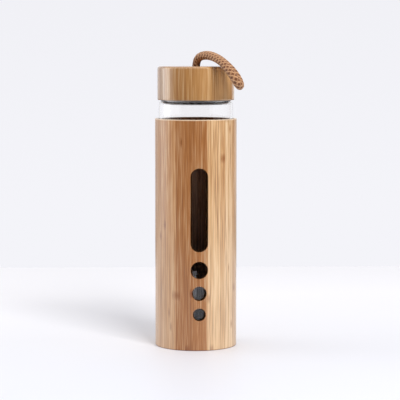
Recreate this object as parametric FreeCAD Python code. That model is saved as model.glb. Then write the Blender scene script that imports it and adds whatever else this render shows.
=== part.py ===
import FreeCAD, Part

import math
import os

from FreeCAD import Vector

# Glass water bottle in a turned bamboo sleeve, with a bamboo screw cap and a braided cord loop.
# Millimetres, +Z up, origin at the centre of the sleeve's foot. The windows face -Y.

# Sleeve
SLEEVE_R = 32.5
SLEEVE_BORE_R = 30.0
SLEEVE_TOP_Z = 181.7
BASE_RECESS = 0.8
BASE_THICK = 5.5
PAD_THICK = 1.5
PAD_R = 27.0
WOOD_EDGE = 0.5

# Windows: one slot above three round holes that get smaller towards the foot
SLOT_WIDTH = 13.8
SLOT_LOW_Z = 78.1
SLOT_HIGH_Z = 143.9
ROUND_WINDOWS = [(63.8, 13.7), (45.4, 11.5), (28.7, 10.1)]  # height of centre, diameter

# Soft rings that centre the glass, each in a groove of the bore
RING_GROOVE_R = 30.9
RING_HEIGHT = 4.0
LOWER_RING_Z = 12.0
UPPER_RING_Z = 160.0
RING_GAP = 0.25

# Glass
GLASS_R = 29.5
GLASS_WALL = 2.2
GLASS_FOOT_THICK = 4.4
PUNT_R = 19.0
PUNT_RISE = 1.4
HEEL_ROUND = 4.2
SHOULDER_Z = 195.2
SHOULDER_ROUND = 2.3
SHOULDER_THICK = 1.6
SHOULDER_INNER_ROUND = 0.8
NECK_R = 25.4
LIP_Z = 205.5
LIP_ROUND = 0.8

# Screw thread: two starts, shared by the neck and the cap's lining
THREAD_LEAD = 8.0
THREAD_STARTS = 2
THREAD_ROOT_WIDTH = 1.5
THREAD_CREST_WIDTH = 0.7
THREAD_ROOT_BITE = 0.3
NECK_CREST_R = 26.45
LINER_CREST_R = 25.75
NECK_THREAD_Z = 197.6
NECK_THREAD_RISE = 5.6
LINER_THREAD_Z = 196.6
LINER_THREAD_RISE = 5.2

# Cap
CAP_R = 30.6
CAP_LOW_Z = 196.4
CAP_TOP_Z = 223.0
CAP_EDGE = 2.2
CAP_FOOT_EDGE = 0.8
CAP_ROOF = 6.5
KNOT_CHAMBER_R = 15.0
LINER_R = 28.0
LINER_WALL = 1.2
LINER_PLATE = 1.0
LINER_SKIRT_Z = 195.5
LINER_TOP_Z = 208.5
GASKET_IN_R = 22.6
GASKET_OUT_R = 26.3
GASKET_GAP = 0.05

# Cord loop: up through two holes in the cap, over in an arch and down past the rim, folded at its far end
CORD_D = 6.4
CORD_HOLE_R = 3.5
CORD_HOLE_OFFSET = 6.0
CORD_HOLE_TURN = 0.5  # the line of the holes is a little off the Y axis: x offset of each hole
KNOT_R = 5.3
KNOT_FLAT = 3.9  # from the knot's centre up to the flat that the cord meets
KNOT_FOOT = 3.7
CORD_ROUTE = [  # x, y and height above the cap's top
    (0.5, 6.0, -6.5),
    (0.5, 6.0, 2.4),
    (2.8, 2.0, 8.0),
    (8.8, -8.0, 9.5),
    (14.8, -19.2, 7.1),
    (20.6, -29.6, 2.2),
    (26.7, -35.0, -4.6),
    (30.7, -36.9, -11.2),
    (30.9, -42.6, -15.5),
    (28.2, -48.8, -13.5),
    (24.4, -49.9, -7.2),
    (19.3, -41.8, 1.0),
    (13.6, -31.2, 6.4),
    (7.2, -19.8, 8.7),
    (1.6, -10.4, 7.6),
    (-0.5, -6.0, 2.2),
    (-0.5, -6.0, -6.5),
]
ARC_SHARE = 0.45  # of the shorter run beside a corner, taken up by that corner's arc

AXIS = Vector(0, 0, 1)
ORIGIN = Vector(0, 0, 0)


def corner_arc(before, corner, after, length):
    """Start, middle and end of the arc that rounds a corner, from this far before it to as far after it."""
    to_before = (before - corner).normalize()
    to_after = (after - corner).normalize()
    half_turn = (math.pi - to_before.getAngle(to_after)) / 2
    radius = length / math.tan(half_turn)
    bisector = (to_before + to_after).normalize()
    middle = corner + bisector * (radius / math.cos(half_turn) - radius)
    return corner + to_before * length, middle, corner + to_after * length, radius


def outline(corners):
    """Closed wire through (r, z) or (r, z, rounding) corners in the XZ plane."""
    points = [Vector(c[0], 0, c[1]) for c in corners]
    rounds = [c[2] if len(c) > 2 else 0 for c in corners]
    ends, edges = [], []
    for i, point in enumerate(points):
        before, after = points[i - 1], points[(i + 1) % len(points)]
        if rounds[i] == 0:
            ends.append((point, point))
            continue
        between = (before - point).getAngle(after - point)
        length = rounds[i] / math.tan(between / 2)
        start, middle, end, _ = corner_arc(before, point, after, length)
        edges.append(Part.Arc(start, middle, end).toShape())
        ends.append((start, end))
    for i in range(len(points)):
        start, end = ends[i][1], ends[(i + 1) % len(points)][0]
        if start.distanceToPoint(end) > 1e-6:
            edges.append(Part.LineSegment(start, end).toShape())
    return Part.Wire(Part.__sortEdges__(edges))


def turned(corners):
    """Solid of revolution about +Z."""
    return Part.Face(outline(corners)).revolve(ORIGIN, AXIS, 360)


def drilled(x, y, low, high, radius):
    return Part.makeCylinder(radius, high - low, Vector(x, y, low))


def thread(root_r, crest_r, low_z, rise, first_angle):
    """Helical ridges, one per start, each a trapezoid swept along the shared lead."""
    ridges = []
    for start in range(THREAD_STARTS):
        helix = Part.makeHelix(THREAD_LEAD, rise, root_r)
        half_root, half_crest = THREAD_ROOT_WIDTH / 2, THREAD_CREST_WIDTH / 2
        profile = Part.makePolygon([
            Vector(root_r, 0, -half_root),
            Vector(crest_r, 0, -half_crest),
            Vector(crest_r, 0, half_crest),
            Vector(root_r, 0, half_root),
            Vector(root_r, 0, -half_root),
        ])
        ridge = Part.Wire(helix).makePipeShell([profile], True, True)
        ridge.rotate(ORIGIN, AXIS, first_angle + 360 * start / THREAD_STARTS)
        ridge.translate(Vector(0, 0, low_z))
        ridges.append(ridge)
    return ridges


def window_cutter(low, high, width):
    """Upright prism with round ends that cuts the front wall only; a round window has low equal to high."""
    depth = SLEEVE_R
    ends = [Part.makeCylinder(width / 2, depth, Vector(0, 0, z), Vector(0, -1, 0)) for z in {low, high}]
    cutter = ends[0]
    for other in ends[1:]:
        middle = Part.makeBox(width, depth, high - low, Vector(-width / 2, -depth, low))
        cutter = cutter.fuse([other, middle]).removeSplitter()
    cutter.translate(Vector(0, -SLEEVE_BORE_R / 2, 0))
    return cutter


def bamboo_sleeve():
    bore, groove = SLEEVE_BORE_R, RING_GROOVE_R
    corners = [
        (bore, 0),
        (SLEEVE_R, 0, WOOD_EDGE),
        (SLEEVE_R, SLEEVE_TOP_Z, WOOD_EDGE),
        (bore, SLEEVE_TOP_Z, WOOD_EDGE),
    ]
    for low in (UPPER_RING_Z, LOWER_RING_Z):
        corners += [(bore, low + RING_HEIGHT), (groove, low + RING_HEIGHT), (groove, low), (bore, low)]
    sleeve = turned(corners)
    half = SLOT_WIDTH / 2
    cutters = [window_cutter(SLOT_LOW_Z + half, SLOT_HIGH_Z - half, SLOT_WIDTH)]
    cutters += [window_cutter(z, z, diameter) for z, diameter in ROUND_WINDOWS]
    return sleeve.cut(cutters)


def sleeve_base():
    low, high = BASE_RECESS, BASE_RECESS + BASE_THICK
    return turned([(0, low), (SLEEVE_BORE_R, low, WOOD_EDGE), (SLEEVE_BORE_R, high), (0, high)])


def base_pad():
    low = BASE_RECESS + BASE_THICK
    return turned([(0, low), (PAD_R, low), (PAD_R, low + PAD_THICK, WOOD_EDGE), (0, low + PAD_THICK)])


def centring_ring(low):
    inner, outer, high = GLASS_R + RING_GAP, RING_GROOVE_R, low + RING_HEIGHT
    return turned([(inner, low, 0.3), (outer, low), (outer, high), (inner, high, 0.3)])


def glass_bottle():
    foot = BASE_RECESS + BASE_THICK + PAD_THICK
    inner = GLASS_R - GLASS_WALL
    mouth = NECK_R - GLASS_WALL
    shoulder_in = SHOULDER_Z - SHOULDER_THICK
    body = turned([
        (0, foot + PUNT_RISE),
        (PUNT_R, foot + PUNT_RISE, 6),
        (PUNT_R + 3.5, foot, 3),
        (GLASS_R, foot, HEEL_ROUND),
        (GLASS_R, SHOULDER_Z, SHOULDER_ROUND),
        (NECK_R, SHOULDER_Z, 0.6),
        (NECK_R, LIP_Z, LIP_ROUND),
        (mouth, LIP_Z, LIP_ROUND),
        (mouth, shoulder_in, 1.8),
        (inner, shoulder_in, SHOULDER_INNER_ROUND),
        (inner, foot + GLASS_FOOT_THICK, HEEL_ROUND),
        (0, foot + GLASS_FOOT_THICK + 0.6),
    ])
    ridges = thread(NECK_R - THREAD_ROOT_BITE, NECK_CREST_R, NECK_THREAD_Z, NECK_THREAD_RISE, 0)
    return body.fuse(ridges)


def cord_holes():
    return [(CORD_HOLE_TURN * side, CORD_HOLE_OFFSET * side) for side in (1, -1)]


def cap_shell():
    roof = CAP_TOP_Z - CAP_ROOF
    shell = turned([
        (0, CAP_TOP_Z),
        (CAP_R, CAP_TOP_Z, CAP_EDGE),
        (CAP_R, CAP_LOW_Z, CAP_FOOT_EDGE),
        (LINER_R, CAP_LOW_Z, 0.3),
        (LINER_R, LINER_TOP_Z),
        (KNOT_CHAMBER_R, LINER_TOP_Z),
        (KNOT_CHAMBER_R, roof),
        (0, roof),
    ])
    cutters = []
    for x, y in cord_holes():
        cutters.append(drilled(x, y, roof - 1, CAP_TOP_Z + 1, CORD_HOLE_R))
        place = Vector(x, y, CAP_TOP_Z - WOOD_EDGE)
        cutters.append(Part.makeCone(CORD_HOLE_R, CORD_HOLE_R + 2 * WOOD_EDGE, 2 * WOOD_EDGE, place))
    return shell.cut(cutters)


def cap_liner():
    """Metal cup inside the cap: a plate over the lip and a threaded skirt that shows under the bamboo."""
    skirt_in, under = LINER_R - LINER_WALL, LINER_TOP_Z - LINER_PLATE
    cup = turned([
        (0, LINER_TOP_Z),
        (LINER_R, LINER_TOP_Z, 1.0),
        (LINER_R, LINER_SKIRT_Z, 0.5),
        (skirt_in, LINER_SKIRT_Z, 0.5),
        (skirt_in, under, 0.8),
        (0, under),
    ])
    # The lining's ridges run half a pitch below the neck's, on the same lead.
    half_pitch = THREAD_LEAD / THREAD_STARTS / 2
    phase = 360 * (LINER_THREAD_Z - (NECK_THREAD_Z - half_pitch)) / THREAD_LEAD
    ridges = thread(skirt_in + THREAD_ROOT_BITE, LINER_CREST_R, LINER_THREAD_Z, LINER_THREAD_RISE, phase)
    return cup.fuse(ridges)


def cap_gasket():
    low, high = LIP_Z + GASKET_GAP, LINER_TOP_Z - LINER_PLATE - GASKET_GAP
    corners = [(GASKET_IN_R, low, 0.4), (GASKET_OUT_R, low, 0.4), (GASKET_OUT_R, high, 0.7), (GASKET_IN_R, high)]
    return turned(corners)


def cord_loop():
    """Tube of straight runs joined by tangent arcs, as large as the runs beside them allow."""
    route = [Vector(x, y, CAP_TOP_Z + rise) for x, y, rise in CORD_ROUTE]
    edges, radii, at, length = [], [], route[0], 0
    for before, corner, after in zip(route, route[1:], route[2:]):
        share = ARC_SHARE * min(before.distanceToPoint(corner), corner.distanceToPoint(after))
        start, middle, end, radius = corner_arc(before, corner, after, share)
        edges.append(Part.LineSegment(at, start).toShape())
        edges.append(Part.Arc(start, middle, end).toShape())
        radii.append(round(radius, 1))
        at = end
    edges.append(Part.LineSegment(at, route[-1]).toShape())
    section = Part.Wire(Part.makeCircle(CORD_D / 2, route[0], route[1] - route[0]))
    path = Part.Wire(edges)
    tube = path.makePipeShell([section], True, False)
    expected = math.pi * CORD_D**2 / 4 * path.Length
    print("cord length", round(path.Length, 1), "volume ratio", round(tube.Volume / expected, 4), "radii", radii)
    return tube


def cord_knot(x, y):
    """Stopper knot in the chamber of the cap, with a flat top that the cord's end meets."""
    centre = CAP_TOP_Z - CAP_ROOF - KNOT_FLAT
    ball = Part.makeSphere(KNOT_R, Vector(x, y, centre))
    corner = Vector(x - KNOT_R, y - KNOT_R, centre - KNOT_FOOT)
    return ball.common(Part.makeBox(2 * KNOT_R, 2 * KNOT_R, KNOT_FOOT + KNOT_FLAT, corner))


def main():
    rear, front = cord_holes()
    pieces = {
        "bamboo_sleeve": bamboo_sleeve(),
        "sleeve_base": sleeve_base(),
        "base_pad": base_pad(),
        "lower_ring": centring_ring(LOWER_RING_Z),
        "upper_ring": centring_ring(UPPER_RING_Z),
        "glass_bottle": glass_bottle(),
        "cap_shell": cap_shell(),
        "cap_liner": cap_liner(),
        "cap_gasket": cap_gasket(),
        "cord_loop": cord_loop(),
        "cord_knot_rear": cord_knot(*rear),
        "cord_knot_front": cord_knot(*front),
    }
    os.makedirs("parts", exist_ok=True)
    for name, shape in pieces.items():
        solid = shape.Solids[0]
        print(name, len(shape.Solids), shape.isValid(), round(solid.Volume, 1), "mm3")
        solid.exportStep("parts/" + name + ".step")


main()
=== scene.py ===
import math

import bmesh
import bpy
import numpy as np
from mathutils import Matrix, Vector


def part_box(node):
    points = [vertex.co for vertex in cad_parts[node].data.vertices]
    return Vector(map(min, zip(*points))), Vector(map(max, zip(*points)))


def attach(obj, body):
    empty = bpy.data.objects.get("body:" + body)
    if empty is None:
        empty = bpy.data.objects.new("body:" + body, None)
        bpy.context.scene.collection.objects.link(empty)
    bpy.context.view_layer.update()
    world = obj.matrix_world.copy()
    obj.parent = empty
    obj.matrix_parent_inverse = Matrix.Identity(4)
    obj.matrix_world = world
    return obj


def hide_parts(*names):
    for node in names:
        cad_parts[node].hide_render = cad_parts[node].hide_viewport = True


MM = 0.001
TURN = 2 * math.pi

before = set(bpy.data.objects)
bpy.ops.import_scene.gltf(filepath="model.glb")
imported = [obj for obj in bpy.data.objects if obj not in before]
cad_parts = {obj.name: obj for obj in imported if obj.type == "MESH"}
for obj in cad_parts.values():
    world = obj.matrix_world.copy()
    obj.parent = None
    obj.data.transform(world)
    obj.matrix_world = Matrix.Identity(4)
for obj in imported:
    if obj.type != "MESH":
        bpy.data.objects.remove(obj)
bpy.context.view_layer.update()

# ---------------------------------------------------------------- sizes, in metres

sleeve_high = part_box("bamboo_sleeve")[1]
base_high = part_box("sleeve_base")[1]
glass_low, glass_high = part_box("glass_bottle")
cap_low, cap_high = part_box("cap_shell")
liner_low, liner_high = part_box("cap_liner")

# Sleeve
SLEEVE_R = sleeve_high.x
SLEEVE_TOP = sleeve_high.z
SLEEVE_BORE_R = base_high.x
RING_GROOVE_R = 30.9 * MM
WOOD_EDGE = 0.5 * MM

# Windows: height of the low and high centres, and width
WINDOWS = [
    (85.0 * MM, 137.0 * MM, 13.8 * MM),
    (63.8 * MM, 63.8 * MM, 13.7 * MM),
    (45.4 * MM, 45.4 * MM, 11.5 * MM),
    (28.7 * MM, 28.7 * MM, 10.1 * MM),
]

# Glass
GLASS_R = glass_high.x
GLASS_WALL = 2.2 * MM
GLASS_FOOT = glass_low.z
GLASS_FOOT_THICK = 4.4 * MM
PUNT_R = 19.0 * MM
PUNT_RISE = 1.4 * MM
HEEL_ROUND = 4.2 * MM
SHOULDER_Z = 195.2 * MM
SHOULDER_ROUND = 2.3 * MM
SHOULDER_THICK = 1.6 * MM
SHOULDER_INNER_ROUND = 0.8 * MM
NECK_R = 25.4 * MM
LIP_Z = glass_high.z
LIP_ROUND = 0.8 * MM

# Screw thread shared by the neck and the cap's lining
THREAD_LEAD = 8.0 * MM
THREAD_STARTS = 2
THREAD_HALF_ROOT = 0.75 * MM
THREAD_HALF_CREST = 0.35 * MM
THREAD_HEIGHT = 1.05 * MM
THREAD_FADE = 0.04  # of a turn, at each end of a ridge
THREAD_WALL_PARTS = 48  # rings of points up the wall that carries the ridges
NECK_THREAD_Z = 197.6 * MM
NECK_THREAD_RISE = 5.6 * MM
LINER_THREAD_Z = 196.6 * MM
LINER_THREAD_RISE = 5.2 * MM

# Cap
CAP_R = cap_high.x
CAP_LOW = cap_low.z
CAP_TOP = cap_high.z
CAP_EDGE = 2.2 * MM
CAP_FOOT_EDGE = 0.8 * MM
CAP_ROOF = 6.5 * MM
KNOT_CHAMBER_R = 15.0 * MM
LINER_R = liner_high.x
LINER_LOW = liner_low.z
LINER_TOP = liner_high.z
LINER_WALL = 1.2 * MM
LINER_PLATE = 1.0 * MM

# Cord: x, y and height above the cap's top
CORD_D = 6.4 * MM
CORD_HOLE_R = 3.5 * MM
CORD_HOLES = [(0.5 * MM, 6.0 * MM), (-0.5 * MM, -6.0 * MM)]
CORD_ROUTE = [
    (0.0005, 0.0060, -0.0065),
    (0.0005, 0.0060, 0.0024),
    (0.0028, 0.0020, 0.0080),
    (0.0088, -0.0080, 0.0095),
    (0.0148, -0.0192, 0.0071),
    (0.0206, -0.0296, 0.0022),
    (0.0267, -0.0350, -0.0046),
    (0.0307, -0.0369, -0.0112),
    (0.0309, -0.0426, -0.0155),
    (0.0282, -0.0488, -0.0135),
    (0.0244, -0.0499, -0.0072),
    (0.0193, -0.0418, 0.0010),
    (0.0136, -0.0312, 0.0064),
    (0.0072, -0.0198, 0.0087),
    (0.0016, -0.0104, 0.0076),
    (-0.0005, -0.0060, 0.0022),
    (-0.0005, -0.0060, -0.0065),
]


# ---------------------------------------------------------------- camera


def make_camera():
    """A long lens just above the cap's top, a little to the left of the windows and tilted down."""
    data = bpy.data.cameras.new("camera")
    data.sensor_width = 36
    data.lens = 146.9
    camera = bpy.data.objects.new("camera", data)
    azimuth, distance, above_cap = math.radians(-4.9), 1.30, 11 * MM
    camera.location = (math.sin(azimuth) * distance, -math.cos(azimuth) * distance, CAP_TOP + above_cap)
    tilt, aside = math.radians(5.17), math.radians(0.146)
    camera.rotation_euler = (math.pi / 2 - tilt, 0, azimuth - aside)
    bpy.context.scene.collection.objects.link(camera)
    bpy.context.scene.camera = camera


# ---------------------------------------------------------------- shader building


class Nodes:
    """A node tree, built by short calls. An input is a number, an (r, g, b) colour or a node's output."""

    def __init__(self, tree):
        self.tree = tree

    def put(self, socket, value):
        if isinstance(value, bpy.types.NodeSocket):
            self.tree.links.new(value, socket)
        else:
            socket.default_value = (*value, 1) if socket.type == "RGBA" else value

    def node(self, kind, inputs=(), **settings):
        made = self.tree.nodes.new("ShaderNode" + kind)
        for name, value in settings.items():
            setattr(made, name, value)
        for name, value in dict(inputs).items():
            self.put(made.inputs[name], value)
        return made

    def math(self, operation, *values, clamp=False):
        made = self.node("Math", operation=operation, use_clamp=clamp)
        for socket, value in zip(made.inputs, values):
            self.put(socket, value)
        return made.outputs[0]

    def vector_math(self, operation, *values):
        made = self.node("VectorMath", operation=operation)
        for socket, value in zip(made.inputs, values):
            self.put(socket, value)
        return made.outputs

    def mix(self, factor, a, b, blend="MIX"):
        made = self.node("Mix", data_type="RGBA", blend_type=blend)
        for place, value in ((0, factor), (6, a), (7, b)):
            self.put(made.inputs[place], value)
        return made.outputs[2]

    def ramp(self, factor, stops):
        made = self.node("ValToRGB", {"Fac": factor})
        points = made.color_ramp.elements
        while len(points) < len(stops):
            points.new(0.5)
        for point, (place, colour) in zip(points, stops):
            point.position = place
            point.color = (*colour, 1)
        return made.outputs["Color"]

    def scaled(self, vector, scale):
        return self.node("Mapping", {"Vector": vector, "Scale": scale}).outputs[0]

    def noise(self, vector, scale, detail=2.0, rough=0.5):
        inputs = {"Vector": vector, "Scale": scale, "Detail": detail, "Roughness": rough}
        return self.node("TexNoise", inputs).outputs["Fac"]

    def white_noise(self, number):
        return self.node("TexWhiteNoise", {"W": number}, noise_dimensions="1D").outputs

    def object_point(self):
        return self.node("TexCoord").outputs["Object"]

    def parts(self, vector):
        return self.node("SeparateXYZ", {"Vector": vector}).outputs


class Shader(Nodes):
    """A material, whose surface is set by the names of its inputs, with _ for a space."""

    def __init__(self, name):
        self.material = bpy.data.materials.new(name)
        self.material.use_nodes = True
        super().__init__(self.material.node_tree)
        self.surface = self.tree.nodes["Principled BSDF"]

    def set(self, **inputs):
        for name, value in inputs.items():
            self.put(self.surface.inputs[name.replace("_", " ")], value)

    def bump(self, height, strength, distance):
        made = self.node("Bump", {"Height": height, "Strength": strength, "Distance": distance})
        self.put(self.surface.inputs["Normal"], made.outputs[0])


def linear(red, green, blue):
    """Linear colour from 0-255 screen values."""
    values = []
    for c in (red, green, blue):
        c /= 255
        values.append(c / 12.92 if c <= 0.04045 else ((c + 0.055) / 1.055) ** 2.4)
    return tuple(values)


WHITE, BLACK = (1, 1, 1), (0, 0, 0)


# ---------------------------------------------------------------- bamboo

# The tones of the strips, from the darkest strip to the palest
SLEEVE_TONES = [
    (0.0, linear(158, 102, 54)),
    (0.3, linear(184, 128, 76)),
    (0.6, linear(214, 170, 120)),
    (1.0, linear(240, 207, 166)),
]
CAP_TONES = [
    (0.0, linear(160, 113, 62)),
    (0.5, linear(181, 133, 78)),
    (1.0, linear(213, 165, 107)),
]
LIGHT_FIBRE = (0.90, 0.71, 0.46)
DARK_FIBRE = (0.24, 0.092, 0.030)
PORE_TINT = (0.52, 0.34, 0.20)
JOINT_TINT = (0.50, 0.31, 0.18)
GLUE_TINT = (0.50, 0.36, 0.25)

SLEEVE_STRIPS = 58
JOINT_SPACING = 240 * MM
JOINT_HALF_HEIGHT = 4.5 * MM
STRIP_WAVES = [(3, 1.0, 0.6), (11, 2.0, 0.45), (19, 0.7, 0.3)]  # number of waves, shift, size in strips
# The darker board is partly real tone and partly painted shade, on the side away from the key light
SHADED_BOARD_ANGLE = -1.78  # radians about Z: the middle of a darker board, where the windows are
PALE_BELOW = 150 * MM


def round_strips(s, parts, count):
    """Strips of uneven width round the axis: a strip's number, and the place across it, 0 to 1."""
    angle = s.math("ARCTAN2", parts["Y"], parts["X"])
    along = s.math("MULTIPLY", angle, count / TURN)
    for times, shift, size in STRIP_WAVES:
        wave = s.math("SINE", s.math("ADD", s.math("MULTIPLY", angle, times), shift))
        along = s.math("ADD", along, s.math("MULTIPLY", wave, size))
    strip = s.math("FLOORED_MODULO", s.math("FLOOR", along), count)
    return strip, s.math("FRACT", along)


def block_pieces(s, parts, wide, long):
    """Pieces of a glued block, in rows side by side in X: a piece's number, and the place across its row.

    The rows are cut at different places along Y.
    """
    across = s.math("DIVIDE", parts["X"], wide)
    row = s.math("FLOOR", across)
    in_row = s.math("ADD", s.math("DIVIDE", parts["Y"], long), s.white_noise(row)["Value"])
    piece = s.math("ADD", s.math("MULTIPLY", row, 17.0), s.math("FLOOR", in_row))
    return piece, s.math("FRACT", across)


def near_angle(s, parts, middle, edge, slope):
    """1 on the side at that angle, fading to 0 where the cosine of the angle from it is at an edge."""
    angle = s.math("ARCTAN2", parts["Y"], parts["X"])
    beyond = s.math("SUBTRACT", s.math("COSINE", s.math("SUBTRACT", angle, middle)), edge)
    return s.math("MULTIPLY", beyond, slope, clamp=True)


def on_shaded_board(s, parts):
    return near_angle(s, parts, SHADED_BOARD_ANGLE, edge=0.905, slope=40.0)


def board_shade(s, parts):
    """How dark the sleeve's strips are, 0 to 1: most on the darker board, and less to its left. This is
    partly a real darker board and partly painted shade on the side turned away from the key light.
    """
    on_board = s.math("MULTIPLY", on_shaded_board(s, parts), 0.9)
    beside = near_angle(s, parts, SHADED_BOARD_ANGLE - 0.6, edge=0.70, slope=8.0)
    return s.math("MAXIMUM", on_board, s.math("MULTIPLY", beside, 0.55))


def streaks(s, point, across, along, detail=2.0):
    """Noise drawn out along Z, centred on 0: a streak is about 1/across m wide and 1/along m long."""
    return s.math("SUBTRACT", s.noise(s.scaled(point, (across, across, along)), 1.0, detail), 0.5)


def fibres(s, point, in_strip, fine):
    """Broad, middle and fine streaks in each strip, and a drift across strips: pale above 0, dark below."""
    wide = streaks(s, in_strip, 420, 12)
    middle = streaks(s, in_strip, 950, 20, 1.0)
    drift = streaks(s, point, 70, 12)
    broad = s.math("ADD", s.math("MULTIPLY", wide, 0.5), s.math("MULTIPLY", middle, 1.6))
    rest = s.math("ADD", s.math("MULTIPLY", fine, 1.5), s.math("MULTIPLY", drift, 0.6))
    return s.math("ADD", broad, rest)


def joints_of(s, height, chance, fine):
    """0 to 1 near a bamboo joint, broken up by the fibres: each strip has its joints at its own heights."""
    shifted = s.math("ADD", s.math("DIVIDE", height, JOINT_SPACING), s.math("MULTIPLY", chance, 7.31))
    off = s.math("ABSOLUTE", s.math("SUBTRACT", s.math("FRACT", shifted), 0.5))
    near = s.math("SUBTRACT", 1.0, s.math("DIVIDE", off, JOINT_HALF_HEIGHT / JOINT_SPACING), clamp=True)
    broken = s.math("ADD", 0.55, s.math("MULTIPLY", fine, 2.6))
    return s.math("MULTIPLY", s.math("MULTIPLY", near, 1.6), broken, clamp=True)


def glue_lines(s, inside):
    """0 to 1 near the edges of a strip."""
    off = s.math("MINIMUM", inside, s.math("SUBTRACT", 1.0, inside))
    return s.math("SUBTRACT", 1.0, s.math("DIVIDE", off, 0.045), clamp=True)


def shaded_bore(s, tone, parts):
    """Painted shade: the bore is darker towards its mouth, where the glass and cap keep light out; lower
    down it is a little warmer.
    """
    up = s.math("DIVIDE", parts["Z"], SLEEVE_TOP)
    mouth_shade = s.ramp(up, [(0.8, (1.05, 0.88, 0.80)), (0.9, (0.45, 0.3, 0.24))])
    return s.mix(1.0, tone, mouth_shade, "MULTIPLY")


def paler_outside(s, tone, parts):
    """Paler towards the foot, apart from the darker board, with a painted highlight on the rim and a
    painted contact shadow at the foot.
    """
    low = s.math("DIVIDE", s.math("SUBTRACT", PALE_BELOW, parts["Z"]), PALE_BELOW, clamp=True)
    low = s.math("MULTIPLY", low, s.math("SUBTRACT", 1.0, on_shaded_board(s, parts)))
    tone = s.mix(s.math("MULTIPLY", low, 0.24), tone, linear(240, 221, 190))
    # Painted highlight along the rim's edge
    rim_highlight = s.math("GREATER_THAN", parts["Z"], SLEEVE_TOP - 0.8 * MM)
    tone = s.mix(s.math("MULTIPLY", rim_highlight, 0.6), tone, linear(244, 222, 192))
    # Painted contact shadow along the foot's edge
    foot = s.math("LESS_THAN", parts["Z"], 0.6 * MM)
    return s.mix(foot, tone, (0.5, 0.38, 0.3), "MULTIPLY")


def bamboo(name, tones, strips=None, block=None, seed=0.37, spread=1.0, level=0.0, side_light=0.0, board=False,
           grain=1.0, joints=0.8, retint=None, coat=0.0, coat_rough=0.18, coat_ior=1.5, specular=0.5):
    """Laminated bamboo: that many strips round the axis, or a block of pieces of that width and length.

    spread, level, side_light: a strip's place in the tones is chance * spread + level + X * side_light,
    where X * side_light paints light towards +X and shade towards -X.
    board: with the darker board, partly painted shade on the sleeve's front-left.
    grain, joints: how strong the fibres and the bamboo's joints are.
    retint(s, tone, parts): changes the finished colour, here with painted highlights and painted shade.
    """
    s = Shader(name)
    point = s.object_point()
    parts = s.parts(point)
    cell, inside = round_strips(s, parts, strips) if strips else block_pieces(s, parts, *block)
    chance = s.white_noise(s.math("ADD", cell, seed))
    shade = board_shade(s, parts) if board else 0.0
    # The X term paints light and shade across the cap
    pick = s.math("MULTIPLY_ADD", chance["Value"], spread, s.math("MULTIPLY_ADD", parts["X"], side_light, level))
    tone = s.ramp(s.math("MULTIPLY", pick, s.math("SUBTRACT", 1.0, shade)), tones)

    # Each strip takes its fibres and pores from its own place in the noise
    in_strip = s.vector_math("MULTIPLY_ADD", chance["Color"], (2.0, 2.0, 0.7), point)["Vector"]
    fine = streaks(s, in_strip, 2600, 50, 1.0)
    weight = fibres(s, point, in_strip, fine)
    light = s.math("MULTIPLY", weight, 1.3 * grain, clamp=True)
    # Fewer pale fibres on the darker board, part of its painted shade
    light = s.math("MULTIPLY", light, s.math("MULTIPLY_ADD", shade, -0.5, 1.0))
    tone = s.mix(light, tone, LIGHT_FIBRE)
    tone = s.mix(s.math("MULTIPLY", weight, -1.8 * grain, clamp=True), tone, DARK_FIBRE)

    pores = s.noise(s.scaled(in_strip, (4200, 4200, 90)), 1.0, 1.0)
    pores = s.math("MULTIPLY", s.math("SUBTRACT", pores, 0.62), 8.0, clamp=True)
    joint = joints_of(s, parts["Z"], chance["Value"], fine)
    glue = glue_lines(s, inside)
    marks = [(pores, 0.3, PORE_TINT), (joint, joints, JOINT_TINT), (glue, 0.28, GLUE_TINT)]
    for mask, strength, tint in marks:
        tone = s.mix(s.math("MULTIPLY", mask, strength), tone, tint, "MULTIPLY")
    if retint:
        tone = retint(s, tone, parts)

    rough = s.math("ADD", s.math("MULTIPLY", fine, 0.15), s.math("MULTIPLY", pores, 0.2))
    hollows = s.math("ADD", pores, s.math("MULTIPLY", glue, 0.7))
    height = s.math("SUBTRACT", s.math("MULTIPLY", fine, 0.6), hollows)
    s.set(Base_Color=tone, Roughness=s.math("ADD", 0.42, rough), Specular_IOR_Level=specular)
    s.set(Coat_Weight=coat, Coat_Roughness=coat_rough, Coat_IOR=coat_ior)
    s.bump(height, 0.12, 0.1 * MM)
    return s.material


def sleeve_bamboo():
    """Lacquered strips of middling and pale tones, but for the darker board, which partly paints the shade
    on the front-left.
    """
    return bamboo(
        "sleeve bamboo", SLEEVE_TONES, strips=SLEEVE_STRIPS, spread=0.44, level=0.45, board=True,
        grain=0.85, retint=paler_outside, coat=0.55, coat_rough=0.22,
    )


def bore_bamboo():
    """Wood without lacquer, inside the sleeve, with painted shade towards its mouth."""
    return bamboo(
        "sleeve bore bamboo", SLEEVE_TONES, strips=SLEEVE_STRIPS, retint=shaded_bore, specular=0.08,
    )


def cap_bamboo():
    """A glossy turned block whose bamboo joints don't show, with painted shade at its left and painted
    light at its right, where the key light falls; its seed puts a darker piece beside the cord as painted
    shadow.
    """
    return bamboo(
        "cap bamboo", CAP_TONES, block=(5.2 * MM, 19 * MM), seed=1.9, spread=0.45, level=0.32, side_light=13.0,
        grain=0.48, joints=0.0, coat=1.0, coat_rough=0.12, coat_ior=1.8,
    )


# ---------------------------------------------------------------- other materials


def clear_glass():
    s = Shader("clear glass")
    haze = s.noise(s.scaled(s.object_point(), (60, 60, 25)), 1.0, 1.0)
    haze = s.math("MULTIPLY", s.math("SUBTRACT", haze, 0.55), 0.06, clamp=True)
    s.set(Base_Color=WHITE, Roughness=haze, IOR=1.45, Transmission_Weight=1.0)
    return s.material


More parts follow.
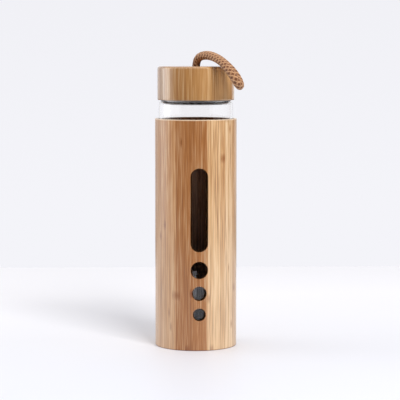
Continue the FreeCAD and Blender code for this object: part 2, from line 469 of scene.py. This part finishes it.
def brushed_steel():
    s = Shader("brushed steel")
    turned = s.noise(s.scaled(s.object_point(), (40, 40, 9000)), 1.0, 2.0)
    tone = s.ramp(turned, [(0.3, (0.20, 0.185, 0.18)), (0.7, (0.38, 0.36, 0.35))])
    rough = s.math("ADD", 0.2, s.math("MULTIPLY", turned, 0.2))
    s.set(Base_Color=tone, Metallic=1.0, Roughness=rough)
    s.bump(turned, 0.1, 0.05 * MM)
    return s.material


def silicone():
    s = Shader("silicone")
    cloud = s.noise(s.object_point(), 300.0, 3.0)
    tone = s.ramp(cloud, [(0.3, linear(206, 206, 202)), (0.7, linear(222, 222, 219))])
    s.set(Base_Color=tone, Roughness=s.math("ADD", 0.42, s.math("MULTIPLY", cloud, 0.16)))
    s.set(Subsurface_Weight=0.15, Subsurface_Radius=(2 * MM, 2 * MM, 2 * MM))
    s.bump(s.noise(s.object_point(), 4000.0, 2.0), 0.08, 0.05 * MM)
    return s.material


def foam():
    s = Shader("foam pad")
    cells = s.node("TexVoronoi", {"Vector": s.object_point(), "Scale": 1400.0}).outputs["Distance"]
    tone = s.ramp(cells, [(0.1, linear(34, 31, 29)), (0.7, linear(62, 58, 54))])
    s.set(Base_Color=tone, Roughness=0.9)
    s.bump(cells, 0.5, 0.2 * MM)
    return s.material


def braid(name, dark, light):
    """Braided yarn: a painted highlight where it crowns over the other set and painted shade where it dips,
    with fine filaments.
    """
    s = Shader(name)
    crown = s.math("POWER", s.node("Attribute", attribute_name="crown").outputs["Fac"], 3.6)
    fuzz = s.noise(s.object_point(), 5200.0, 3.0, 0.6)
    patch = s.noise(s.object_point(), 260.0, 2.0)
    spread = s.math("ADD", s.math("MULTIPLY", fuzz, 0.5), s.math("MULTIPLY", patch, 0.3))
    # Painted highlight on the crowns, painted shade in the dips
    pick = s.math("ADD", s.math("MULTIPLY", crown, 0.75), s.math("SUBTRACT", spread, 0.28))

    # Painted shade: darker where the cord comes out of the cap
    away = s.vector_math("DISTANCE", s.object_point(), (0, 0, CAP_TOP))["Value"]
    away = s.math("DIVIDE", s.math("SUBTRACT", away, 5 * MM), 9 * MM, clamp=True)
    root_shade = s.mix(away, (0.36, 0.30, 0.26), WHITE)
    s.set(Base_Color=s.mix(1.0, s.ramp(pick, [(0.12, dark), (0.9, light)]), root_shade, "MULTIPLY"))
    s.set(Roughness=0.68, Sheen_Weight=0.12, Sheen_Roughness=0.4)
    s.bump(fuzz, 0.5, 0.15 * MM)
    return s.material


def cord_yarns():
    """One set of yarns, the set that crosses it, and the core that shows between them, dark as painted
    shade in the gaps.
    """
    return [
        braid("cord light yarn", linear(116, 72, 45), linear(244, 194, 147)),
        braid("cord tan yarn", linear(108, 66, 41), linear(220, 168, 122)),
        braid("cord core", linear(104, 66, 44), linear(128, 86, 58)),
    ]


# ---------------------------------------------------------------- mesh building


def rounded(corners, steps):
    """Closed outline of (r, z) points from (r, z) or (r, z, rounding) corners."""
    points = [Vector(c[:2]) for c in corners]
    result = []
    for i, point in enumerate(points):
        radius = corners[i][2] if len(corners[i]) > 2 else 0
        if radius == 0:
            result.append(tuple(point))
            continue
        before = (points[i - 1] - point).normalized()
        after = (points[(i + 1) % len(points)] - point).normalized()
        half = before.angle(after) / 2
        centre = point + (before + after).normalized() * (radius / math.sin(half))
        start = point + before * (radius / math.tan(half)) - centre
        sweep = math.pi - 2 * half
        side = 1 if before.x * after.y - before.y * after.x < 0 else -1
        for k in range(steps + 1):
            angle = side * sweep * k / steps
            turned = Vector((
                start.x * math.cos(angle) - start.y * math.sin(angle),
                start.x * math.sin(angle) + start.y * math.cos(angle),
            ))
            result.append(tuple(centre + turned))
    return result


def mesh_object(name, vertices, faces, smooth=True):
    mesh = bpy.data.meshes.new(name)
    mesh.from_pydata([tuple(v) for v in vertices], [], faces)
    bm = bmesh.new()
    bm.from_mesh(mesh)
    bmesh.ops.recalc_face_normals(bm, faces=bm.faces)
    bm.to_mesh(mesh)
    bm.free()
    mesh.polygons.foreach_set("use_smooth", [smooth] * len(mesh.polygons))
    made = bpy.data.objects.new(name, mesh)
    bpy.context.scene.collection.objects.link(made)
    return made


def lathe(name, profile, segments, push=None):
    """Closed solid of revolution about Z. push(r, z, angle) moves a point outward."""
    vertices, faces, rings = [], [], []
    for r, z in profile:
        if r < 1e-9:
            rings.append([len(vertices)] * segments)
            vertices.append((0, 0, z))
            continue
        first = len(vertices)
        for k in range(segments):
            angle = TURN * k / segments
            out = r + (push(r, z, angle) if push else 0)
            vertices.append((out * math.cos(angle), out * math.sin(angle), z))
        rings.append(list(range(first, first + segments)))
    for i in range(len(rings)):
        low, high = rings[i], rings[(i + 1) % len(rings)]
        if low[0] == low[1] and high[0] == high[1]:
            continue
        for k in range(segments):
            n = (k + 1) % segments
            face = [low[k], low[n], high[n], high[k]]
            faces.append([v for j, v in enumerate(face) if v != face[j - 1]])
    return mesh_object(name, vertices, faces)


def same_radius(a, b):
    return abs(a - b) < 0.05 * MM


def divided(outline, wall_r, longest):
    """The outline, its runs divided to be no longer than that, and finely on the wall with the thread."""
    profile = []
    for i, (r, z) in enumerate(outline):
        r_next, z_next = outline[(i + 1) % len(outline)]
        on_wall = same_radius(r, wall_r) and same_radius(r_next, wall_r) and z_next - z > 2 * MM
        parts = math.ceil(math.hypot(r_next - r, z_next - z) / longest)
        parts = THREAD_WALL_PARTS if on_wall else max(1, parts)
        profile += [(r + (r_next - r) * k / parts, z + (z_next - z) * k / parts) for k in range(parts)]
    return profile


def thread_push(wall_r, low_z, rise, first_angle, sign):
    """Push for a lathe: raises screw ridges, each under a turn long, that fade in and out at their ends."""
    turns = rise / THREAD_LEAD

    def push(r, z, angle):
        if not same_radius(r, wall_r):
            return 0
        for start in range(THREAD_STARTS):
            turn = ((angle - first_angle) / TURN - start / THREAD_STARTS) % 1
            off = abs(z - low_z - turn * THREAD_LEAD)
            height = (THREAD_HALF_ROOT - off) / (THREAD_HALF_ROOT - THREAD_HALF_CREST)
            if turn <= turns and height > 0:
                fade = min(1, min(turn, turns - turn) / THREAD_FADE)
                return sign * THREAD_HEIGHT * min(1, height) * fade
        return 0

    return push


def apply_modifiers(obj):
    evaluated = obj.evaluated_get(bpy.context.evaluated_depsgraph_get())
    mesh = bpy.data.meshes.new_from_object(evaluated)
    obj.modifiers.clear()
    obj.data = mesh


def prism(outline, low, high, axis):
    """Closed prism for cutting: over an (x, z) outline along Y, or over an (x, y) outline along Z."""
    count = len(outline)
    vertices = [(a, end, b) if axis == "Y" else (a, b, end) for end in (low, high) for a, b in outline]
    faces = [list(range(count)), list(range(2 * count - 1, count - 1, -1))]
    faces += [[k, (k + 1) % count, count + (k + 1) % count, count + k] for k in range(count)]
    return mesh_object("cutter", vertices, faces, smooth=False)


def upright_pill(low_z, high_z, width, steps=28):
    """Outline of a slot with round ends, or of a circle where both heights are the same."""
    points = []
    for centre, start in ((high_z, 0), (low_z, math.pi)):
        for k in range(steps + 1):
            angle = start + math.pi * k / steps
            points.append((width / 2 * math.cos(angle), centre + width / 2 * math.sin(angle)))
    return [p for i, p in enumerate(points) if math.dist(p, points[i - 1]) > 1e-7]


def circle(x, y, radius, count=48):
    angles = [TURN * k / count for k in range(count)]
    return [(x + radius * math.cos(angle), y + radius * math.sin(angle)) for angle in angles]


def cut_away(obj, cutters):
    for cutter in cutters:
        modifier = obj.modifiers.new("cut", "BOOLEAN")
        modifier.operation = "DIFFERENCE"
        modifier.solver = "EXACT"
        modifier.object = cutter
    apply_modifiers(obj)
    for cutter in cutters:
        bpy.data.objects.remove(cutter)


def soften_edges(obj, width):
    """Small rounding of the sharp edges, with normals that keep the flat faces flat."""
    modifier = obj.modifiers.new("soften", "BEVEL")
    modifier.width = width
    modifier.segments = 2
    modifier.limit_method = "ANGLE"
    modifier.angle_limit = math.radians(50)
    modifier.harden_normals = True
    apply_modifiers(obj)


# ---------------------------------------------------------------- pieces


def finish_piece(obj, body, node, materials):
    for material in materials:
        obj.data.materials.append(material)
    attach(obj, body)
    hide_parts(node)


def make_sleeve(outside, inside):
    bore, groove = SLEEVE_BORE_R, RING_GROOVE_R
    corners = [
        (bore, 0),
        (SLEEVE_R, 0, WOOD_EDGE),
        (SLEEVE_R, SLEEVE_TOP, WOOD_EDGE),
        (bore, SLEEVE_TOP, WOOD_EDGE),
    ]
    for ring in ("upper_ring", "lower_ring"):
        low, high = (corner.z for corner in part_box(ring))
        corners += [(bore, high), (groove, high), (groove, low), (bore, low)]
    sleeve = lathe("turned_bamboo_sleeve", rounded(corners, 4), 256)
    outer_end, inner_end = -SLEEVE_R * 1.2, -SLEEVE_BORE_R * 0.5
    cut_away(sleeve, [prism(upright_pill(*window), outer_end, inner_end, "Y") for window in WINDOWS])
    soften_edges(sleeve, 0.35 * MM)
    finish_piece(sleeve, "sleeve", "bamboo_sleeve", [outside, inside])
    for face in sleeve.data.polygons:
        near_bore = math.hypot(face.center.x, face.center.y) < bore + 1.2 * MM
        face.material_index = int(near_bore and abs(face.normal.z) < 0.5)


def make_glass(glass):
    inner, mouth = GLASS_R - GLASS_WALL, NECK_R - GLASS_WALL
    foot, under = GLASS_FOOT, SHOULDER_Z - SHOULDER_THICK
    corners = [
        (0, foot + PUNT_RISE),
        (PUNT_R, foot + PUNT_RISE, 6 * MM),
        (PUNT_R + 3.5 * MM, foot, 3 * MM),
        (GLASS_R, foot, HEEL_ROUND),
        (GLASS_R, SHOULDER_Z, SHOULDER_ROUND),
        (NECK_R, SHOULDER_Z, 0.6 * MM),
        (NECK_R, LIP_Z, LIP_ROUND),
        (mouth, LIP_Z, LIP_ROUND),
        (mouth, under, 1.8 * MM),
        (inner, under, SHOULDER_INNER_ROUND),
        (inner, foot + GLASS_FOOT_THICK, HEEL_ROUND),
        (0, foot + GLASS_FOOT_THICK + 0.6 * MM),
    ]
    profile = divided(rounded(corners, 10), NECK_R, 12 * MM)
    ridges = thread_push(NECK_R, NECK_THREAD_Z, NECK_THREAD_RISE, 0, 1)
    bottle = lathe("blown_glass_bottle", profile, 360, ridges)
    finish_piece(bottle, "glass", "glass_bottle", [glass])


def make_cap(wood):
    roof = CAP_TOP - CAP_ROOF
    corners = [
        (0, CAP_TOP),
        (CAP_R, CAP_TOP, CAP_EDGE),
        (CAP_R, CAP_LOW, CAP_FOOT_EDGE),
        (LINER_R, CAP_LOW, 0.3 * MM),
        (LINER_R, LINER_TOP),
        (KNOT_CHAMBER_R, LINER_TOP),
        (KNOT_CHAMBER_R, roof),
        (0, roof),
    ]
    cap = lathe("turned_bamboo_cap", rounded(corners, 8), 256)
    holes = [circle(x, y, CORD_HOLE_R) for x, y in CORD_HOLES]
    cut_away(cap, [prism(hole, roof - 2 * MM, CAP_TOP + 2 * MM, "Z") for hole in holes])
    soften_edges(cap, 0.4 * MM)
    finish_piece(cap, "cap", "cap_shell", [wood])


def make_liner(steel):
    skirt, under = LINER_R - LINER_WALL, LINER_TOP - LINER_PLATE
    corners = [
        (0, LINER_TOP),
        (LINER_R, LINER_TOP, 1.0 * MM),
        (LINER_R, LINER_LOW, 0.5 * MM),
        (skirt, LINER_LOW, 0.5 * MM),
        (skirt, under, 0.8 * MM),
        (0, under),
    ]
    profile = divided(rounded(corners, 5), skirt, 9 * MM)
    # The lining's ridges run half a pitch below the neck's, on the same lead
    half_pitch = THREAD_LEAD / THREAD_STARTS / 2
    phase = TURN * (LINER_THREAD_Z - (NECK_THREAD_Z - half_pitch)) / THREAD_LEAD
    ridges = thread_push(skirt, LINER_THREAD_Z, LINER_THREAD_RISE, phase, -1)
    liner = lathe("threaded_steel_liner", profile, 192, ridges)
    finish_piece(liner, "cap", "cap_liner", [steel])


# ---------------------------------------------------------------- cord


def route_curve(points):
    curve = bpy.data.curves.new("route", "CURVE")
    curve.dimensions = "3D"
    curve.resolution_u = 24
    spline = curve.splines.new("NURBS")
    spline.points.add(len(points) - 1)
    for target, point in zip(spline.points, points):
        target.co = (*point, 1)
    spline.order_u = 3
    spline.use_endpoint_u = True
    return curve


def spline_points(points):
    """Points along the route's smooth curve, as Blender works it out."""
    curve = route_curve(points)
    carrier = bpy.data.objects.new("route", curve)
    bpy.context.scene.collection.objects.link(carrier)
    mesh = bpy.data.meshes.new_from_object(carrier.evaluated_get(bpy.context.evaluated_depsgraph_get()))
    line = np.array([tuple(v.co) for v in mesh.vertices])
    bpy.data.objects.remove(carrier)
    bpy.data.curves.remove(curve)
    bpy.data.meshes.remove(mesh)
    return line


def evenly(line, step):
    """The same line with points about a step apart, and each point's distance along it."""
    along = np.concatenate([[0], np.cumsum(np.linalg.norm(np.diff(line, axis=0), axis=1))])
    count = max(2, round(along[-1] / step) + 1)
    at = np.linspace(0, along[-1], count)
    return np.stack([np.interp(at, along, line[:, k]) for k in range(3)], axis=1), at


def unit_tangents(line):
    tangents = np.gradient(line, axis=0)
    return tangents / np.linalg.norm(tangents, axis=1)[:, None]


def carried_frames(line):
    """Two directions square to the line and to each other at each point, with no sudden twist."""
    tangents = unit_tangents(line)
    normals = np.zeros_like(line)
    start = np.cross(tangents[0], (0.0, 1.0, 0.0))
    normals[0] = start / np.linalg.norm(start)
    for i in range(1, len(line)):
        carried = normals[i - 1] - tangents[i] * np.dot(normals[i - 1], tangents[i])
        normals[i] = carried / np.linalg.norm(carried)
    return normals, np.cross(tangents, normals)


def tube_faces(first, count, sides):
    """Quads of a tube whose corner lines follow each other, count points each, and its two ends."""
    faces = []
    for k in range(sides):
        a, b = first + k * count, first + (k + 1) % sides * count
        faces += [(a + i, a + i + 1, b + i + 1, b + i) for i in range(count - 1)]
    faces.append([first + k * count for k in range(sides)])
    faces.append([first + k * count + count - 1 for k in reversed(range(sides))])
    return faces


def oval_tube(middle, across, out, sides=8):
    """Corner lines of a tube about a line, from its half widths as vectors in two directions."""
    angles = [TURN * k / sides for k in range(sides)]
    return [middle + across * math.cos(angle) + out * math.sin(angle) for angle in angles]


def braided_tube(name, line, radius, materials, carriers=8, lay=14 * MM, step=0.5 * MM):
    """A round braid about a core: two sets of yarns wind opposite ways, each over and under the other."""
    points, along = evenly(line, step)
    normals, binormals = carried_frames(points)
    half_wide, half_thick = radius * 0.34, radius * 0.14
    middle = radius - half_thick * 1.8
    vertices, faces, kinds, crowns = [], [], [], []

    def add(lines, kind, crown):
        made = tube_faces(len(vertices), len(points), len(lines))
        faces.extend(made)
        kinds.extend([kind] * len(made))
        for corner in lines:
            vertices.extend(corner)
            crowns.extend(crown)

    for kind, way in enumerate((1, -1)):
        for carrier in range(carriers):
            turn = TURN * (carrier / carriers + way * along / lay)
            over = np.tanh(1.6 * np.cos(TURN * (carriers * along / lay + carrier / 2)) * way)
            out = normals * np.cos(turn)[:, None] + binormals * np.sin(turn)[:, None]
            yarn = points + out * (middle + half_thick * 0.8 * over)[:, None]
            across = np.cross(unit_tangents(yarn), out)
            add(oval_tube(yarn, across * half_wide, out * half_thick), kind, (over + 1) / 2)
    core = radius * 0.74
    add(oval_tube(points, normals * core, binormals * core, sides=16), 2, np.zeros(len(points)))
    braided = mesh_object(name, vertices, faces)
    crown = braided.data.attributes.new("crown", "FLOAT", "POINT")
    crown.data.foreach_set("value", crowns)
    for material in materials:
        braided.data.materials.append(material)
    braided.data.polygons.foreach_set("material_index", kinds)
    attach(braided, "cap")
    return braided, points


def stopper_knot(name, node, materials):
    """An overhand knot, pulled tight under its hole in the cap."""
    low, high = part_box(node)
    half_wide, half_tall = (high.x - low.x) / 2 * 0.97, (high.z - low.z) / 2 * 0.97
    thick = (high.x - low.x) / 2 * 0.42
    turns = np.linspace(0, TURN * 0.97, 90)
    x = (np.sin(turns) + 2 * np.sin(2 * turns)) * (half_wide - thick) / 3
    y = (np.cos(turns) - 2 * np.cos(2 * turns)) * (half_wide - thick) / 3
    z = -np.sin(3 * turns) * (half_tall - thick)
    line = np.stack([x, y, z], axis=1) + np.array((low + high) / 2)
    knot, _ = braided_tube(name, line, thick, materials, carriers=6, lay=10 * MM, step=0.6 * MM)
    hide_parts(node)
    return knot


def make_cord(materials):
    route = [(x, y, CAP_TOP + rise) for x, y, rise in CORD_ROUTE]
    cord, points = braided_tube("braided_cord_loop", spline_points(route), CORD_D / 2, materials)
    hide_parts("cord_loop")
    ends = ("rear", "front")
    knots = [stopper_knot(f"stopper_knot_{end}", f"cord_knot_{end}", materials) for end in ends]


# ---------------------------------------------------------------- room and light


def make_room():
    """A pale table, not part of the object: a little greyer and bluer towards its front, painted shade set
    against the key light there and the warm light bounced from the bamboo.

    Its back edge comes nearer on the right.
    """
    back, front, side, slant = 0.475, -0.385, 1.6, 0.06
    right_back, left_back = back - side * slant, back + side * slant
    corners = [(-side, front, 0), (side, front, 0), (side, right_back, 0), (-side, left_back, 0)]
    table = mesh_object("table", corners, [(0, 1, 2, 3)], smooth=False)
    s = Shader("table white")
    cloud = s.noise(s.object_point(), 6.0, 2.0)
    # Painted shade: greyer and bluer towards the front
    deep = s.math("MULTIPLY_ADD", s.parts(s.object_point())["Y"], 1.16, 0.45)
    deep = s.math("ADD", deep, s.math("MULTIPLY", cloud, 0.04))
    tones = [(0.2, (0.76, 0.775, 0.825)), (0.5, (0.815, 0.82, 0.855)), (0.78, (0.945, 0.94, 0.96))]
    s.set(Base_Color=s.ramp(deep, tones), Roughness=0.5)
    table.data.materials.append(s.material)


def light_around(s, way, height, path):
    """The light that falls on things: bright from behind and above, dim from in front, dark from below."""
    glossy, refracted = path["Is Glossy Ray"], path["Is Transmission Ray"]
    facing = s.vector_math("DOT_PRODUCT", way, (-0.462, 0.887, 0.0))["Value"]
    behind = s.ramp(facing, [(0.24, BLACK), (0.36, WHITE)])
    above = s.ramp(height, [(0.30, BLACK), (0.75, WHITE)])
    front_light = s.mix(glossy, linear(52, 50, 52), linear(128, 78, 58))
    front_light = s.mix(refracted, front_light, linear(124, 98, 86))
    back_light = s.mix(s.math("MAXIMUM", glossy, refracted), linear(228, 228, 232), (0.84, 0.84, 0.87))
    light = s.mix(above, s.mix(behind, front_light, back_light), linear(232, 232, 236))
    over_table = s.math("MULTIPLY_ADD", height, 20.0, 2.6, clamp=True)
    return s.mix(over_table, (0.02, 0.02, 0.02), light)


def make_world():
    """A pale wall for the camera, straight or through the glass, and light_around for everything else."""
    world = bpy.data.worlds.new("studio")
    bpy.context.scene.world = world
    world.use_nodes = True
    s = Nodes(world.node_tree)
    way = s.node("TexCoord").outputs["Generated"]
    parts = s.parts(way)
    path = s.node("LightPath").outputs
    through = s.math("MULTIPLY", path["Is Transmission Ray"], s.math("GREATER_THAN", parts["Y"], -0.6))
    level = s.math("MULTIPLY_ADD", parts["Z"], 4.0, 0.6)
    wall = s.ramp(level, [(0.24, linear(244, 244, 249)), (0.72, linear(241, 241, 246))])
    wall = s.mix(through, wall, (0.955, 0.955, 0.99))  # makes up for what the glass takes away
    seen = s.math("MAXIMUM", path["Is Camera Ray"], through)
    colour = s.mix(seen, light_around(s, way, parts["Z"], path), wall)
    s.put(s.tree.nodes["Background"].inputs["Color"], colour)


def softbox(name, place, target, size, power, colour=WHITE, mirrored=True):
    """A soft rectangular lamp. mirrored: whether it shows in reflections."""
    data = bpy.data.lights.new(name, "AREA")
    data.shape = "RECTANGLE"
    data.size, data.size_y = size
    data.energy = power
    data.color = colour
    lamp = bpy.data.objects.new(name, data)
    lamp.location = place
    lamp.rotation_euler = (Vector(target) - Vector(place)).to_track_quat("-Z", "Y").to_euler()
    lamp.visible_glossy = mirrored
    lamp.visible_transmission = False
    bpy.context.scene.collection.objects.link(lamp)


def make_lights():
    middle = (0, 0, 0.12)
    softbox("key", (0.52, -1.38, 1.25), middle, (0.8, 0.8), 29, mirrored=False)
    softbox("left window", (-1.06, 0.30, 0.35), middle, (0.65, 0.95), 3.6, (1.0, 0.97, 0.93))


# ---------------------------------------------------------------- build

bpy.context.scene.view_settings.view_transform = "Standard"
make_camera()
make_cord(cord_yarns())

sleeve_wood, rubber = sleeve_bamboo(), silicone()
make_sleeve(sleeve_wood, bore_bamboo())
make_glass(clear_glass())
make_cap(cap_bamboo())
make_liner(brushed_steel())

CARRIED = {
    "sleeve_base": sleeve_wood,
    "base_pad": foam(),
    "lower_ring": rubber,
    "upper_ring": rubber,
    "cap_gasket": rubber,
}
for node, material in CARRIED.items():
    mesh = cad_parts[node].data
    mesh.materials.clear()
    mesh.materials.append(material)

make_room()
make_world()
make_lights()
